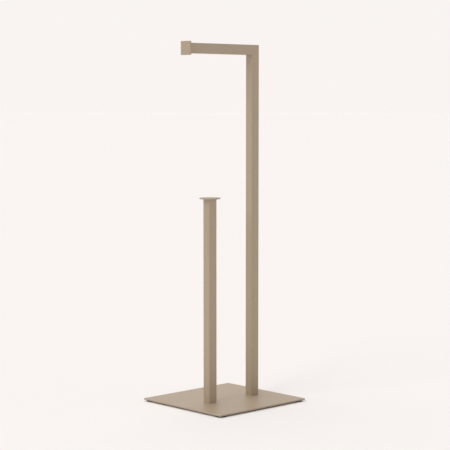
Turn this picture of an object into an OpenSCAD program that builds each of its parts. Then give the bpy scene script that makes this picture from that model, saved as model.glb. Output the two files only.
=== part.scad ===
// Free-standing toilet paper stand.
// A nearly square steel plate on four rubber pads carries a tall post, whose top
// turns through a mitred corner into a level arm for the roll in use, and a
// shorter post with a disc on top for the spare rolls.
// X runs along the arm, which points to -X, and Z is up. The origin is on the
// floor, under the middle of the plate.

/* [Base plate] */
// Width of the plate, along the arm
base_w = 206; // [160:1:260]
// Depth of the plate, across the arm
base_d = 197; // [160:1:260]
// Thickness of the plate
base_t = 2.5; // [2.5:0.5:8]
// Radius of the plate's four corners, seen from above
base_corner_r = 1; // [0.5:0.5:20]
// Chamfer that eases the plate's upper and lower edges
base_ease = 0.4; // [0.1:0.1:1]

/* [Tube] */
// Width of the tube, in the plane that holds both posts and the arm
tube_w = 17.5; // [14:0.5:24]
// Depth of the tube, across that plane
tube_d = 15; // [13:0.5:24]
// Wall of the tube
tube_wall = 1.2; // [0.8:0.1:1.8]
// Outer radius of the tube's long edges
tube_corner_r = 0.7; // [0.5:0.1:3]

/* [Tall post and arm] */
// Height of the stand, from the floor to the top of the arm
stand_h = 625; // [480:5:800]
// Place of the tall post's axis along the plate
tall_post_x = 60; // [45:1:85]
// Place of both posts' axes across the plate
posts_y = -8; // [-60:1:60]
// Reach of the arm, from the tall post's axis to the face of its end plate
arm_reach = 158; // [125:1:200]

/* [Arm end plate] */
// Height and width of the square plate that closes the arm
end_plate_w = 23.5; // [20:0.5:34]
// Thickness of that plate
end_plate_t = 3; // [1.5:0.5:6]
// Radius of its four corners
end_plate_corner_r = 0.8; // [0.4:0.1:4]
// Chamfer that eases the edges of its two faces
end_plate_ease = 0.3; // [0.1:0.1:0.7]

/* [Spare roll post] */
// Height of the spare roll post, from the floor to the top of its disc
spare_h = 361.5; // [230:0.5:440]
// Place of the spare roll post's axis along the plate
spare_post_x = -42; // [-75:0.5:-15]
// Diameter of the disc, which has to pass through a roll's core
cap_d = 36.5; // [28:0.5:38]
// Thickness of the disc
cap_t = 2; // [1.5:0.5:5]
// Radius on both edges of the disc's rim
cap_edge_r = 0.4; // [0.2:0.1:0.6]

/* [Feet] */
// Diameter of the rubber pads
foot_d = 18; // [12:0.5:30]
// Height of the rubber of a pad
foot_t = 2.1; // [1:0.1:6]
// Radius on the pad's lower edge
foot_edge_r = 0.6; // [0.2:0.1:0.9]
// Distance from the plate's edges to a pad's centre
foot_inset = 10.5; // [10:0.5:40]
// Diameter of the adhesive disc that holds a pad
tape_d = 16; // [8:0.5:17]
// Thickness of the adhesive disc
tape_t = 0.4; // [0.2:0.1:1]

/* [Fixing of the posts] */
// Height of the threaded plug inside a post's foot
plug_h = 20; // [14:1:40]
// Chamfer round the plug's upper end
plug_chamfer = 1; // [0.5:0.1:2]
// Gap between the plug and the tube, on each side
plug_gap = 0.15; // [0.05:0.05:0.3]
// Chamfer at the mouth of the plug's thread
thread_chamfer = 0.6; // [0.3:0.1:1.5]
// Thread diameter of the countersunk screw
screw_d = 5; // [4:0.5:6]
// Length of the screw, over its head
screw_l = 16; // [13:1:24]
// Diameter of the screw's head
screw_head_d = 9; // [8:0.1:9.4]
// Height of the head's cylindrical rim
screw_rim = 0.2; // [0.1:0.1:0.4]
// Depth of the head below the plate's lower face
screw_recess = 0.1; // [0.1:0.1:0.3]
// Width across the flats of the hexagon socket
socket_w = 3; // [2.5:0.1:4]
// Depth of the hexagon socket
socket_depth = 1.6; // [1:0.1:2]
// Gap round the screw's head and in the thread
screw_gap = 0.05; // [0.02:0.01:0.1]
// Gap round the screw's shank in the plate's hole
shank_gap = 0.25; // [0.1:0.05:0.5]

/* [Hidden] */
$fn = 64;

coat_colour = "#ad9b86";
rubber_colour = "#2d2c2b";
tape_colour = "#e6e3dc";
zinc_colour = "#b9bdc1";

// Cuts run this far past the surfaces that they open
overrun = 1;

base_z = foot_t + tape_t;
plate_top = base_z + base_t;
arm_z = stand_h - tube_w / 2;
arm_end_x = tall_post_x - arm_reach;
tube_inner_w = tube_w - 2 * tube_wall;
tube_inner_d = tube_d - 2 * tube_wall;
tube_inner_r = max(tube_corner_r - tube_wall, tube_wall / 8);
plug_w = tube_inner_w - 2 * plug_gap;
plug_d = tube_inner_d - 2 * plug_gap;
screw_cone_h = (screw_head_d - screw_d) / 2;
foot_x = base_w / 2 - foot_inset;
foot_y = base_d / 2 - foot_inset;

// Rectangle with round corners, about its centre
module rounded_rect(w, d, r) {
    square([w - 2 * r, d], center = true);
    square([w, d - 2 * r], center = true);
    for (x = [-1, 1], y = [-1, 1])
        translate([x * (w / 2 - r), y * (d / 2 - r)])
            circle(r);
}

// Outline of a block from one side, with its lower and upper corners cut off
module eased_side(w, depth, h, lower, upper) {
    rotate([90, 0, 0])
        linear_extrude(depth + 2 * overrun, center = true)
            polygon([
                [lower - w / 2, 0],
                [w / 2 - lower, 0],
                [w / 2, lower],
                [w / 2, h - upper],
                [w / 2 - upper, h],
                [upper - w / 2, h],
                [-w / 2, h - upper],
                [-w / 2, lower]
            ]);
}

// Upright block with round corners, and chamfers round its two faces
module eased_block(w, d, h, r, lower, upper) {
    intersection() {
        linear_extrude(h)
            rounded_rect(w, d, r);
        eased_side(w, d, h, lower, upper);
        rotate([0, 0, 90])
            eased_side(d, w, h, lower, upper);
    }
}

// Section of the tube that both posts and the arm are cut from
module tube_section() {
    difference() {
        rounded_rect(tube_w, tube_d, tube_corner_r);
        rounded_rect(tube_inner_w, tube_inner_d, tube_inner_r);
    }
}

// Prism on one side of the 45 degree mitre plane: side 1 is above it, on the
// arm's side, and side -1 is below it, on the post's side
module mitre_side(side) {
    reach = tube_w / 2 + overrun;
    corner = [-side * reach, side * reach];
    translate([tall_post_x, posts_y, arm_z])
        rotate([90, 0, 0])
            linear_extrude(tube_d + 2 * overrun, center = true)
                polygon([[-reach, -reach], [reach, reach], corner]);
}

// Disc with rounded rims: lower_r and upper_r are the radii of its two edges
module rounded_disc(d, t, lower_r, upper_r) {
    lower_in = d / 2 - lower_r;
    upper_in = d / 2 - upper_r;
    rotate_extrude() {
        square([min(lower_in, upper_in), t]);
        translate([0, lower_r])
            square([d / 2, t - lower_r - upper_r]);
        intersection() {
            union() {
                if (lower_r > 0)
                    translate([lower_in, lower_r])
                        circle(lower_r);
                if (upper_r > 0)
                    translate([upper_in, t - upper_r])
                        circle(upper_r);
            }
            square([d / 2, t]);
        }
    }
}

// Countersunk hole through the plate, for the screw under a post
module countersunk_hole(x) {
    rim_h = screw_recess + screw_rim;
    mouth_r = screw_head_d / 2 + screw_gap;
    hole_r = screw_d / 2 + shank_gap;
    translate([x, posts_y, base_z]) {
        translate([0, 0, -overrun])
            cylinder(h = base_t + 2 * overrun, r = hole_r);
        translate([0, 0, -overrun])
            cylinder(h = rim_h + overrun, r = mouth_r);
        translate([0, 0, rim_h])
            cylinder(h = mouth_r - hole_r, r1 = mouth_r, r2 = hole_r);
    }
}

// Threaded plug that fills the foot of a post
module plug(x) {
    thread_r = screw_d / 2 + screw_gap;
    color(zinc_colour)
        translate([x, posts_y, plate_top])
            difference() {
                eased_block(plug_w, plug_d, plug_h, tube_inner_r, 0, plug_chamfer);
                translate([0, 0, -overrun])
                    cylinder(h = plug_h + 2 * overrun, r = thread_r);
                translate([0, 0, -overrun])
                    cylinder(h = thread_r + thread_chamfer + overrun,
                             r1 = thread_r + thread_chamfer + overrun, r2 = 0);
            }
}

// Countersunk screw with a hexagon socket, driven from below
module screw(x) {
    color(zinc_colour)
        translate([x, posts_y, base_z + screw_recess])
            difference() {
                union() {
                    cylinder(h = screw_rim, d = screw_head_d);
                    translate([0, 0, screw_rim])
                        cylinder(h = screw_cone_h, d1 = screw_head_d, d2 = screw_d);
                    translate([0, 0, screw_rim])
                        cylinder(h = screw_l - screw_rim, d = screw_d);
                }
                translate([0, 0, -overrun])
                    cylinder(h = socket_depth + overrun, d = socket_w / cos(30), $fn = 6);
            }
}

// Rubber pad under one corner of the plate
module foot(x, y) {
    color(rubber_colour)
        translate([x, y, 0])
            rounded_disc(foot_d, foot_t, foot_edge_r, 0);
}

module base_plate() {
    color(coat_colour)
        difference() {
            translate([0, 0, base_z])
                eased_block(base_w, base_d, base_t, base_corner_r, base_ease, base_ease);
            countersunk_hole(tall_post_x);
            countersunk_hole(spare_post_x);
        }
}

module tall_post() {
    color(coat_colour)
        difference() {
            translate([tall_post_x, posts_y, plate_top])
                linear_extrude(stand_h - plate_top)
                    tube_section();
            mitre_side(1);
        }
}

module roll_arm() {
    color(coat_colour)
        difference() {
            translate([arm_end_x + end_plate_t, posts_y, arm_z])
                rotate([90, 0, 90])
                    linear_extrude(arm_reach + tube_w / 2 - end_plate_t)
                        rotate([0, 0, 90])
                            tube_section();
            mitre_side(-1);
        }
}

module arm_end_plate() {
    color(coat_colour)
        translate([arm_end_x, posts_y, arm_z])
            rotate([90, 0, 90])
                eased_block(end_plate_w, end_plate_w, end_plate_t, end_plate_corner_r,
                            end_plate_ease, end_plate_ease);
}

module spare_post() {
    color(coat_colour)
        translate([spare_post_x, posts_y, plate_top])
            linear_extrude(spare_h - cap_t - plate_top)
                tube_section();
}

module spare_post_cap() {
    color(coat_colour)
        translate([spare_post_x, posts_y, spare_h - cap_t])
            rounded_disc(cap_d, cap_t, cap_edge_r, cap_edge_r);
}

module tall_post_plug() {
    plug(tall_post_x);
}

module spare_post_plug() {
    plug(spare_post_x);
}

module tall_post_screw() {
    screw(tall_post_x);
}

module spare_post_screw() {
    screw(spare_post_x);
}

module foot_front_left() {
    foot(-foot_x, -foot_y);
}

module foot_front_right() {
    foot(foot_x, -foot_y);
}

module foot_back_left() {
    foot(-foot_x, foot_y);
}

module foot_back_right() {
    foot(foot_x, foot_y);
}

module foot_tapes() {
    color(tape_colour)
        for (x = [-foot_x, foot_x], y = [-foot_y, foot_y])
            translate([x, y, foot_t])
                cylinder(h = tape_t, d = tape_d);
}

base_plate();
tall_post();
roll_arm();
arm_end_plate();
spare_post();
spare_post_cap();
tall_post_plug();
spare_post_plug();
tall_post_screw();
spare_post_screw();
foot_front_left();
foot_front_right();
foot_back_left();
foot_back_right();
foot_tapes();
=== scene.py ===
# Free-standing toilet paper stand, dressed for a studio picture.
# Everything is in metres. X runs along the arm, which points to -X, and Z is up.
import math
import bmesh
import bpy
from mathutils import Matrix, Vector


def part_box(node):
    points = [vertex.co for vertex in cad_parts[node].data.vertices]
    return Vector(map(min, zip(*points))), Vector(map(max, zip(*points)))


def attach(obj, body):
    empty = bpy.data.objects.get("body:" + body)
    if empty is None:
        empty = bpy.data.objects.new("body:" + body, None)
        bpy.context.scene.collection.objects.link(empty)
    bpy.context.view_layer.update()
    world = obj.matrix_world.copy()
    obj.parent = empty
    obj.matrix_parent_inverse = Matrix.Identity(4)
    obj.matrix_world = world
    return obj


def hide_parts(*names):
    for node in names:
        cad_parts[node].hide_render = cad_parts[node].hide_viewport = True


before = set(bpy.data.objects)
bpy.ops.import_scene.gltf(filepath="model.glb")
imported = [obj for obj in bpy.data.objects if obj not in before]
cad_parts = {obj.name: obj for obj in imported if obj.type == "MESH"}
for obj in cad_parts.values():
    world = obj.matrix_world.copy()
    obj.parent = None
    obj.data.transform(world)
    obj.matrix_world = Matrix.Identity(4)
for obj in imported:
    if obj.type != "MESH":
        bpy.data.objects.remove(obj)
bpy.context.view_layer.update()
mm = 0.001
xAxis, zAxis = 0, 2    # their places in a vector
print("frame loaded:", len(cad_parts), "parts")


# Camera: a long lens from the front left, a little lower than the arm, tilted down
photoView = {
    "film": 36,            # mm wide
    "lens": 118.086,       # mm
    "distance": 2568.01,   # mm, from the origin along the floor
    "height": 530.53,      # mm, above the floor
    "heading": 43.4869,    # degrees, from +Y towards +X
    "tilt": 4.8733,        # degrees, downwards
    "sideStep": 0.949,     # mm, to the camera's own right
    "sight": 200,          # m, past the floor's far edge
}


def setCamera(view):
    data = bpy.data.cameras.new("photoCamera")
    data.sensor_width = view["film"]
    data.lens = view["lens"]
    data.clip_end = view["sight"]
    camera = bpy.data.objects.new("photoCamera", data)
    bpy.context.scene.collection.objects.link(camera)
    heading = math.radians(view["heading"])
    ahead = Vector((math.sin(heading), math.cos(heading), 0))
    right = Vector((math.cos(heading), -math.sin(heading), 0))
    spot = right * view["sideStep"] - ahead * view["distance"]
    spot.z = view["height"]
    camera.location = spot * mm
    camera.rotation_euler = (math.radians(90 - view["tilt"]), 0, -heading)
    bpy.context.scene.camera = camera


setCamera(photoView)
print("camera set")


# Materials
def toLinear(hexColour):
    # The curve that the sRGB standard gives, and a solid alpha
    channels = [int(hexColour[i:i + 2], 16) / 255 for i in (1, 3, 5)]
    return [c / 12.92 if c <= 0.04045 else ((c + 0.055) / 1.055) ** 2.4 for c in channels] + [1]


def addNode(tree, kind, inputs=None, **settings):
    # An input is a value or another node's output. A Mix node's inputs go by number: 0 is the
    # share, 2 and 3 are the two numbers, 6 and 7 the two colours
    node = tree.nodes.new("ShaderNode" + kind)
    for name, value in settings.items():
        setattr(node, name, value)
    for name, value in (inputs or {}).items():
        if isinstance(value, bpy.types.NodeSocket):
            tree.links.new(value, node.inputs[name])
        else:
            node.inputs[name].default_value = value
    return node


def newMaterial(name):
    material = bpy.data.materials.new(name)
    material.use_nodes = True
    material.node_tree.nodes.clear()
    return material, material.node_tree


# Polyester powder coat on steel, sprayed and baked: a warm taupe film with a satin sheen. The eye
# gets an even colour, a slight orange peel and a fine sandy grain, with painted shade in its pits
powderLook = {
    "colour": "#ac9c86",
    "pitShadeColour": "#a4947e",       # painted shade: darker in the pits between the grains
    "pitEdge": (0.35, 0.65),      # share of the grain's height where pits end and tops start
    "roughness": (0.38, 0.48),    # in the pits and on the tops
    "ior": 1.5,
    "peelSize": 3.0,              # mm from hill to hill of the orange peel
    "peelDepth": 0.015,           # mm
    "peelNoise": {"Detail": 1.0, "Roughness": 0.4},
    "grainSize": 0.8,             # mm, the real 0.2 mm grit drawn coarser, so that it shows
    "grainDepth": 0.07,           # mm
    "grainNoise": {"Detail": 1.0, "Roughness": 0.6},
}


def powderCoat(look):
    material, tree = newMaterial("satin_powder_coat")
    place = addNode(tree, "TexCoord").outputs["Object"]
    peel = addNode(tree, "TexNoise", {"Vector": place, "Scale": 1 / (look["peelSize"] * mm),
                                      **look["peelNoise"]}).outputs["Fac"]
    grain = addNode(tree, "TexNoise", {"Vector": place, "Scale": 1 / (look["grainSize"] * mm),
                                       **look["grainNoise"]}).outputs["Fac"]
    raised = addNode(tree, "MapRange", {"Value": grain, "From Min": look["pitEdge"][0],
                                        "From Max": look["pitEdge"][1]}).outputs["Result"]
    # painted shade: the pits between the grains get the darker colour
    colour = addNode(tree, "Mix", {0: raised, 6: toLinear(look["pitShadeColour"]),
                                   7: toLinear(look["colour"])}, data_type="RGBA").outputs[2]
    rough = addNode(tree, "MapRange", {"Value": raised, "To Min": look["roughness"][0],
                                       "To Max": look["roughness"][1]}).outputs["Result"]
    hills = addNode(tree, "Bump", {"Height": peel,
                                   "Distance": look["peelDepth"] * mm}).outputs["Normal"]
    grit = addNode(tree, "Bump", {"Height": grain, "Distance": look["grainDepth"] * mm,
                                  "Normal": hills}).outputs["Normal"]
    shader = addNode(tree, "BsdfPrincipled", {"Base Color": colour, "Roughness": rough,
                                              "Normal": grit, "IOR": look["ior"]})
    addNode(tree, "OutputMaterial", {"Surface": shader.outputs[0]})
    return material


# Moulded nitrile rubber: matt black, with a faint pitted skin that is a little dusty on top
rubberLook = {
    "colour": "#2b2a29",
    "dustColour": "#3a3836",
    "dustEdge": (0.4, 0.7),       # share of the skin's height where the dust starts and is full
    "roughness": 0.72,
    "ior": 1.52,
    "pitSize": 0.8,               # mm
    "pitDepth": 0.03,             # mm
    "pitNoise": {"Detail": 2.0},
}


def mouldedRubber(look):
    material, tree = newMaterial("moulded_rubber")
    place = addNode(tree, "TexCoord").outputs["Object"]
    pits = addNode(tree, "TexNoise", {"Vector": place, "Scale": 1 / (look["pitSize"] * mm),
                                      **look["pitNoise"]}).outputs["Fac"]
    dust = addNode(tree, "MapRange", {"Value": pits, "From Min": look["dustEdge"][0],
                                      "From Max": look["dustEdge"][1]}).outputs["Result"]
    colour = addNode(tree, "Mix", {0: dust, 6: toLinear(look["colour"]),
                                   7: toLinear(look["dustColour"])}, data_type="RGBA").outputs[2]
    bumps = addNode(tree, "Bump", {"Height": pits,
                                   "Distance": look["pitDepth"] * mm}).outputs["Normal"]
    shader = addNode(tree, "BsdfPrincipled", {"Base Color": colour, "Normal": bumps,
                                              "Roughness": look["roughness"],
                                              "IOR": look["ior"]})
    addNode(tree, "OutputMaterial", {"Surface": shader.outputs[0]})
    return material


# Blue-white zinc plating on a steel screw: bright, with a faintly cloudy, brushed sheen
zincLook = {
    "colour": "#c3c8cc",
    "cloudColour": "#aab0b6",
    "roughness": (0.24, 0.38),    # between the clouds and in them
    "cloudSize": 1.5,             # mm
    "cloudNoise": {"Detail": 3.0},
}


def zincPlate(look):
    material, tree = newMaterial("zinc_plate")
    place = addNode(tree, "TexCoord").outputs["Object"]
    cloud = addNode(tree, "TexNoise", {"Vector": place, "Scale": 1 / (look["cloudSize"] * mm),
                                       **look["cloudNoise"]}).outputs["Fac"]
    colour = addNode(tree, "Mix", {0: cloud, 6: toLinear(look["colour"]),
                                   7: toLinear(look["cloudColour"])}, data_type="RGBA").outputs[2]
    rough = addNode(tree, "MapRange", {"Value": cloud, "To Min": look["roughness"][0],
                                       "To Max": look["roughness"][1]}).outputs["Result"]
    shader = addNode(tree, "BsdfPrincipled", {"Base Color": colour, "Roughness": rough,
                                              "Metallic": 1.0})
    addNode(tree, "OutputMaterial", {"Surface": shader.outputs[0]})
    return material


# Bare mild steel, sawn and milled: grey metal with fine tool marks across it
millLook = {
    "colour": "#a3a19d",
    "markColour": "#8b8986",
    "roughness": (0.32, 0.5),     # between the marks and in them
    "markSize": 1.18435,          # mm from mark to mark
    "markDepth": 0.01,            # mm
    "markWave": {"Distortion": 1.5, "Detail": 2.0},
}
waveAtOne = 2 * math.pi / 20      # length of a wave texture's own wave at scale 1


def milledSteel(look):
    material, tree = newMaterial("milled_steel")
    place = addNode(tree, "TexCoord").outputs["Object"]
    marks = addNode(tree, "TexWave", {"Vector": place, "Scale": waveAtOne / (look["markSize"] * mm),
                                      **look["markWave"]}, bands_direction="Z").outputs["Fac"]
    colour = addNode(tree, "Mix", {0: marks, 6: toLinear(look["colour"]),
                                   7: toLinear(look["markColour"])}, data_type="RGBA").outputs[2]
    rough = addNode(tree, "MapRange", {"Value": marks, "To Min": look["roughness"][0],
                                       "To Max": look["roughness"][1]}).outputs["Result"]
    ridges = addNode(tree, "Bump", {"Height": marks,
                                    "Distance": look["markDepth"] * mm}).outputs["Normal"]
    shader = addNode(tree, "BsdfPrincipled", {"Base Color": colour, "Roughness": rough,
                                              "Metallic": 1.0, "Normal": ridges})
    addNode(tree, "OutputMaterial", {"Surface": shader.outputs[0]})
    return material


# Double-sided acrylic foam tape: off-white, with tiny cells at its cut edge
foamLook = {
    "colour": "#e6e3dc",
    "cellColour": "#d6d2c8",      # towards the walls of the cells
    "roughness": 0.6,
    "ior": 1.48,
    "cellSize": 0.4,              # mm
    "cellDepth": 0.02,            # mm
}


def foamTape(look):
    material, tree = newMaterial("foam_tape")
    place = addNode(tree, "TexCoord").outputs["Object"]
    cells = addNode(tree, "TexVoronoi", {"Vector": place, "Scale": 1 / (look["cellSize"] * mm)})
    depth = cells.outputs["Distance"]
    colour = addNode(tree, "Mix", {0: depth, 6: toLinear(look["colour"]),
                                   7: toLinear(look["cellColour"])}, data_type="RGBA").outputs[2]
    bumps = addNode(tree, "Bump", {"Height": depth,
                                   "Distance": look["cellDepth"] * mm}).outputs["Normal"]
    shader = addNode(tree, "BsdfPrincipled", {"Base Color": colour, "Normal": bumps,
                                              "Roughness": look["roughness"],
                                              "IOR": look["ior"]})
    addNode(tree, "OutputMaterial", {"Surface": shader.outputs[0]})
    return material


coat = powderCoat(powderLook)
rubber = mouldedRubber(rubberLook)
zinc = zincPlate(zincLook)
milled = milledSteel(millLook)
foam = foamTape(foamLook)
print("materials mixed")


# Modelling helpers
meshing = {
    "mergeWithin": 0.001 * mm,    # vertices closer than this become one
    "sharpAngle": 30,             # degrees, from where an edge stays sharp in the shading
    "acrossLimit": 0.5,           # an edge runs across an axis with less than this along it
}


def setEditing(on):
    bpy.ops.object.mode_set(mode="EDIT" if on else "OBJECT")


def takeUp(piece):
    # Makes a piece the active one, and the only one that is selected
    bpy.ops.object.select_all(action="DESELECT")
    piece.select_set(True)
    bpy.context.view_layer.objects.active = piece


def pickEdges(test):
    # Selects the edges whose middle and direction pass the test
    bpy.ops.mesh.select_mode(type="EDGE")
    bpy.ops.mesh.select_all(action="DESELECT")
    mesh = bpy.context.edit_object.data
    shape = bmesh.from_edit_mesh(mesh)
    for edge in shape.edges:
        first, last = [end.co for end in edge.verts]
        edge.select_set(test((first + last) / 2, (last - first).normalized()))
    bmesh.update_edit_mesh(mesh)


def roundRims(axis, radius, bends, above=-math.inf, below=math.inf):
    # Rounds the edges that run across an axis and lie between two heights on it
    pickEdges(lambda middle, along: abs(along[axis]) < meshing["acrossLimit"]
              and above < middle[axis] < below)
    bpy.ops.mesh.bevel(offset=radius, segments=bends, affect="EDGES")


def drawSection(name, centre, turn, width, depth, radius, bends):
    # A flat rectangle with round corners, left in edit mode and selected
    bpy.ops.object.select_all(action="DESELECT")
    bpy.ops.mesh.primitive_plane_add(size=1, location=centre, rotation=turn)
    piece = bpy.context.object
    piece.name = piece.data.name = name
    piece.scale = (width, depth, 1)
    bpy.ops.object.transform_apply()
    setEditing(True)
    bpy.ops.mesh.select_all(action="SELECT")
    bpy.ops.mesh.bevel(offset=radius, segments=bends, affect="VERTICES")
    bpy.ops.mesh.select_all(action="SELECT")
    return piece


def pushOut(way):
    bpy.ops.mesh.extrude_region_move(TRANSFORM_OT_translate={"value": way})


def mend():
    # In edit mode: merges doubles and turns the faces outwards
    bpy.ops.mesh.select_all(action="SELECT")
    bpy.ops.mesh.remove_doubles(threshold=meshing["mergeWithin"])
    bpy.ops.mesh.normals_make_consistent(inside=False)


def closeUp(piece):
    # Mends the active piece, ends the editing and keeps flat faces flat beside round edges
    setEditing(True)
    mend()
    setEditing(False)
    bpy.ops.object.shade_smooth_by_angle(angle=math.radians(meshing["sharpAngle"]))
    flat = piece.modifiers.new("flatFaces", "WEIGHTED_NORMAL")
    flat.keep_sharp = True
    bpy.ops.object.modifier_apply(modifier=flat.name)


def fit(piece, node, material):
    # Gives a piece its finish and puts it in its node's place
    piece.data.materials.append(material)
    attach(piece, "root")
    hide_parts(node)


# Posts and arm, cut from one tube and mitred where the tall post meets the arm
tube = {
    "radius": 0.7 * mm,           # of its long edges
    "wall": 1.2 * mm,
    "boreRadius": 0.15 * mm,      # of its long edges inside
    "bends": 6,                   # steps round each of them
}
upright = (0, 0, 0)
level = (0, math.radians(90), 0)  # turns a section from lying flat to standing across X


def cutTube(name, centre, turn, width, depth, run):
    # The outline and the bore are drawn apart, joined by the ring between them and pushed along
    bore = drawSection(name + "_bore", centre, turn, width - 2 * tube["wall"],
                       depth - 2 * tube["wall"], tube["boreRadius"], tube["bends"])
    setEditing(False)
    piece = drawSection(name, centre, turn, width, depth, tube["radius"], tube["bends"])
    setEditing(False)
    bore.select_set(True)
    bpy.ops.object.join()
    setEditing(True)
    bpy.ops.mesh.select_all(action="SELECT")
    bpy.ops.mesh.delete(type="ONLY_FACE")
    bpy.ops.mesh.select_all(action="SELECT")
    bpy.ops.mesh.bridge_edge_loops()
    bpy.ops.mesh.select_all(action="SELECT")
    pushOut(run)
    return piece


def standPost(name, low, high):
    foot = ((low.x + high.x) / 2, (low.y + high.y) / 2, low.z)
    return cutTube(name, foot, upright, high.x - low.x, high.y - low.y, (0, 0, high.z - low.z))


def mitre(spot, outwards):
    # Cuts the tube off along a plane and closes the wall's cut end
    bpy.ops.mesh.select_mode(type="EDGE")
    bpy.ops.mesh.select_all(action="SELECT")
    bpy.ops.mesh.bisect(plane_co=spot, plane_no=outwards.normalized(), clear_outer=True)
    bpy.ops.mesh.bridge_edge_loops()


postLow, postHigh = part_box("tall_post")
armLow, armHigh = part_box("roll_arm")
mitreSpot = Vector(((postLow.x + postHigh.x) / 2, (postLow.y + postHigh.y) / 2,
                    (armLow.z + armHigh.z) / 2))
tallPost = standPost("tall_post_coated", postLow, postHigh)
mitre(mitreSpot, Vector((-1, 0, 1)))
closeUp(tallPost)
fit(tallPost, "tall_post", coat)

rollArm = cutTube("roll_arm_coated", (armLow.x, mitreSpot.y, mitreSpot.z), level,
                  postHigh.x - postLow.x, postHigh.y - postLow.y, (armHigh.x - armLow.x, 0, 0))
mitre(mitreSpot, Vector((1, 0, -1)))
closeUp(rollArm)
fit(rollArm, "roll_arm", coat)

sparePost = standPost("spare_post_coated", *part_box("spare_post"))
closeUp(sparePost)
fit(sparePost, "spare_post", coat)
print("posts and arm done")


# Flat plates: the base plate, and the plate that closes the arm. The corners of the outline and
# the rims of both faces are rounded
basePlateEdge = {"corner": 1.0 * mm, "rim": 0.45 * mm, "bends": 4}
endPlateEdge = {"corner": 0.8 * mm, "rim": 0.35 * mm, "bends": 4}


def cutPlate(name, low, high, axis, edge):
    # The axis is the one that the plate's thickness runs along, Z or X
    middle, size = (low + high) / 2, high - low
    middle[axis] = low[axis]
    turn, width = (upright, size.x) if axis == zAxis else (level, size.z)
    piece = drawSection(name, middle, turn, width, size.y, edge["corner"], edge["bends"])
    run = Vector((0, 0, 0))
    run[axis] = size[axis]
    pushOut(run)
    roundRims(axis, edge["rim"], edge["bends"])
    return piece


# Countersunk holes for the two screws, sunk into the base plate from below
sunkHole = {
    "mouth": 4.55 * mm,           # radius
    "shank": 2.75 * mm,           # radius
    "rim": 0.3 * mm,              # straight part before the cone
    "overrun": 1 * mm,            # how far the bit starts below the plate
    "sides": 64,
}


def sinkHole(plate, screwNode, hole):
    screwLow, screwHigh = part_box(screwNode)
    plateLow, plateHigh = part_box("base_plate")
    middle = (screwLow + screwHigh) / 2
    bpy.ops.object.select_all(action="DESELECT")
    bpy.ops.mesh.primitive_circle_add(vertices=hole["sides"], radius=hole["mouth"],
                                      fill_type="NGON",
                                      location=(middle.x, middle.y, plateLow.z - hole["overrun"]))
    bit = bpy.context.object
    bpy.ops.object.transform_apply()
    setEditing(True)
    bpy.ops.mesh.select_all(action="SELECT")
    pushOut((0, 0, hole["overrun"] + hole["rim"]))
    pushOut((0, 0, hole["mouth"] - hole["shank"]))
    narrower = hole["shank"] / hole["mouth"]
    bpy.ops.transform.resize(value=(narrower, narrower, 1), center_override=middle)
    pushOut((0, 0, plateHigh.z - plateLow.z))
    mend()
    setEditing(False)
    takeUp(plate)
    drill = plate.modifiers.new("drill", "BOOLEAN")
    drill.object = bit
    drill.operation = "DIFFERENCE"
    bpy.ops.object.modifier_apply(modifier=drill.name)
    bpy.data.objects.remove(bit)


basePlate = cutPlate("base_plate_coated", *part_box("base_plate"), zAxis, basePlateEdge)
closeUp(basePlate)    # here already, because only a closed plate can be drilled
for screwNode in ("tall_post_screw", "spare_post_screw"):
    sinkHole(basePlate, screwNode, sunkHole)
closeUp(basePlate)
fit(basePlate, "base_plate", coat)

endPlate = cutPlate("arm_end_plate_coated", *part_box("arm_end_plate"), xAxis, endPlateEdge)
closeUp(endPlate)
fit(endPlate, "arm_end_plate", coat)
print("plates done")


# Disc on the short post
discEdge = {"rim": 0.4 * mm, "bends": 4, "sides": 96}


def turnDisc(name, low, high, sides):
    # A round slab, left in edit mode
    bpy.ops.object.select_all(action="DESELECT")
    bpy.ops.mesh.primitive_cylinder_add(vertices=sides, radius=(high.x - low.x) / 2,
                                        depth=high.z - low.z, location=(low + high) / 2)
    piece = bpy.context.object
    piece.name = piece.data.name = name
    bpy.ops.object.transform_apply()
    setEditing(True)
    return piece


disc = turnDisc("spare_post_disc", *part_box("spare_post_cap"), discEdge["sides"])
roundRims(zAxis, discEdge["rim"], discEdge["bends"])
closeUp(disc)
fit(disc, "spare_post_cap", coat)
print("disc done")


# Rubber pads under the four corners
padEdge = {
    "floorRim": 0.6 * mm,
    "floorBends": 5,
    "topRim": 0.15 * mm,
    "topBends": 2,
    "sides": 72,
}


def mouldPad(name, low, high, edge):
    pad = turnDisc(name, low, high, edge["sides"])
    halfway = (low.z + high.z) / 2
    roundRims(zAxis, edge["floorRim"], edge["floorBends"], below=halfway)
    roundRims(zAxis, edge["topRim"], edge["topBends"], above=halfway)
    closeUp(pad)
    return pad


def copyPiece(piece, name, shift):
    takeUp(piece)
    bpy.ops.object.duplicate(linked=False)
    copy = bpy.context.object
    copy.name = copy.data.name = name
    copy.location = shift
    bpy.ops.object.transform_apply()
    return copy


padLow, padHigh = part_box("foot_front_left")
firstPad = mouldPad("pad_front_left", padLow, padHigh, padEdge)
for corner in ("front_right", "back_left", "back_right"):
    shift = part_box("foot_" + corner)[0] - padLow
    pad = copyPiece(firstPad, "pad_" + corner, shift)
    fit(pad, "foot_" + corner, rubber)
fit(firstPad, "foot_front_left", rubber)
print("pads done")


# Small parts keep the frame's own shapes and get their finish
smallParts = {
    "tall_post_plug": milled,
    "spare_post_plug": milled,
    "tall_post_screw": zinc,
    "spare_post_screw": zinc,
    "foot_tapes": foam,
}
for node, material in smallParts.items():
    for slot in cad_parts[node].material_slots:
        slot.material = material
print("small parts finished")


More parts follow.
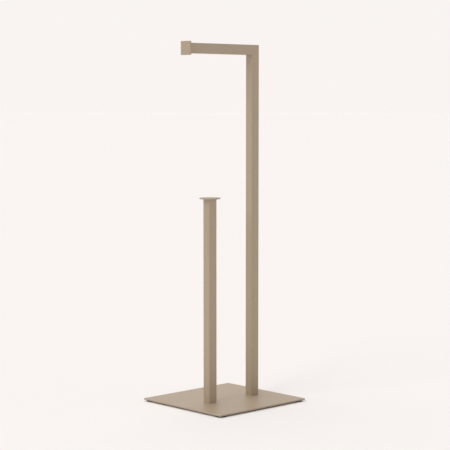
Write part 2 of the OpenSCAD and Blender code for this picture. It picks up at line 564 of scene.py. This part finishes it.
# Studio: a pale floor that runs out to the background, white walls under a dimmer ceiling, one
# softbox on the left, in line with the arm, a wide one high up behind the stand, and a weak one
# in front on the right
studio = {
    "white": "#f9f4f1",
    "floorShare": 0.90,           # share of the light that the floor gives back
    "floorRadius": 60,            # m
    "floorSides": 128,
    "ceiling": 0.40,              # brightness of the ceiling, the walls being 1
    "wallTop": (0.15, 0.40),      # sines of the heights where the walls end and the ceiling starts
    "softboxes": {                # strength in W/m2, spread in degrees
        "keyLight": {"from": (-1.0, -0.06, 0.78), "strength": 1.15, "spread": 34},
        "topLight": {"from": (0.2, 0.6, 1.0), "strength": 1.572, "spread": 70},
        "fillLight": {"from": (0.7, -1.0, 0.7), "strength": 0.15, "spread": 60},
    },
}


def setSurround(look):
    # The camera sees one even white. What lights the stand is dimmer towards the ceiling
    world = bpy.data.worlds.new("studioWhite")
    world.use_nodes = True
    tree = world.node_tree
    tree.nodes.clear()
    way = addNode(tree, "TexCoord").outputs["Generated"]
    height = addNode(tree, "SeparateXYZ", {"Vector": way}).outputs["Z"]
    walls = addNode(tree, "MapRange", {"Value": height, "From Min": look["wallTop"][0],
                                       "From Max": look["wallTop"][1], "To Min": 1.0,
                                       "To Max": look["ceiling"]},
                    interpolation_type="SMOOTHSTEP").outputs["Result"]
    seen = addNode(tree, "LightPath").outputs["Is Camera Ray"]
    glow = addNode(tree, "Mix", {0: seen, 2: walls, 3: 1.0}).outputs[0]
    around = addNode(tree, "Background", {"Color": toLinear(look["white"]), "Strength": glow})
    addNode(tree, "OutputWorld", {"Surface": around.outputs[0]})
    bpy.context.scene.world = world


def layFloor(look):
    bpy.ops.object.select_all(action="DESELECT")
    bpy.ops.mesh.primitive_circle_add(vertices=look["floorSides"], radius=look["floorRadius"],
                                      fill_type="NGON")
    floor = bpy.context.object
    floor.name = "studio_floor"
    material, tree = newMaterial("matt_floor_paint")
    paint = addNode(tree, "BsdfPrincipled", {"Base Color": [look["floorShare"]] * 3 + [1],
                                             "Roughness": 1.0, "Specular IOR Level": 0.0})
    addNode(tree, "OutputMaterial", {"Surface": paint.outputs[0]})
    floor.data.materials.append(material)


def hangSoftboxes(look):
    # Each is a sun with a wide disc, so that it lights the whole stand evenly
    for name, box in look["softboxes"].items():
        data = bpy.data.lights.new(name, "SUN")
        data.color = toLinear(look["white"])[:3]
        data.energy = box["strength"]
        data.angle = math.radians(box["spread"])
        light = bpy.data.objects.new(name, data)
        light.rotation_euler = Vector(box["from"]).to_track_quat("Z", "Y").to_euler()
        bpy.context.scene.collection.objects.link(light)


setSurround(studio)
layFloor(studio)
hangSoftboxes(studio)
bpy.context.scene.view_settings.view_transform = "Standard"
bpy.context.scene.view_settings.look = "None"
print("studio lit")
